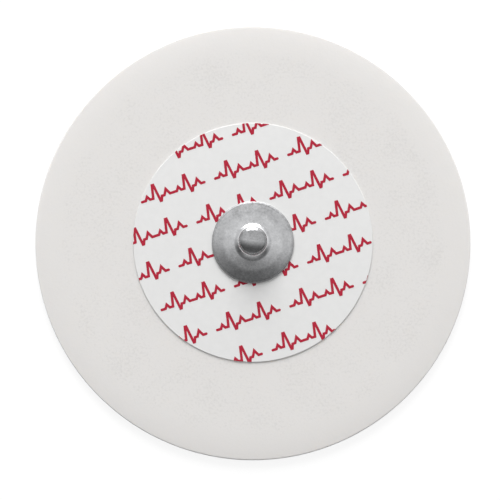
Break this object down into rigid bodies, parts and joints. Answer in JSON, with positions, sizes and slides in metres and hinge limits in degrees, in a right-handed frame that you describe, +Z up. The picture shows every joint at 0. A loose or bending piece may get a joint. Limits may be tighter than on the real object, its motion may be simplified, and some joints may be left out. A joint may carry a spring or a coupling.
{
  "type": "ecg electrode",
  "caption": "Round foam ECG electrode with a printed film label, a steel snap stud on a moulded sensor, a gel disc under it and a clear release liner over its adhesive face.",
  "frame": {"origin": "middle of the round underside, on the release liner's lower face", "axes": "+Z up the stud; +Y towards the top of the picture, where the print's rows slant up to the right; +X to the right"},
  "size_m": [0.06, 0.06, 0.0054],
  "materials": {
    "foam": "matte, fine closed cells",
    "label_film": "smooth satin film",
    "print_ink": "flat dark red ink",
    "stud_steel": "satin, tumbled",
    "sensor_coat": "silver coat on moulded plastic",
    "gel": "wet, nearly clear gel",
    "liner_film": "clear smooth film"
  },
  "bodies": {
    "root": {"release_liner": "liner_film", "foam_pad": "foam", "gel_pad": "gel", "sensor_eyelet": "sensor_coat", "top_label": "label_film", "label_print": "print_ink", "snap_stud": "stud_steel"}
  },
  "joints": []
}
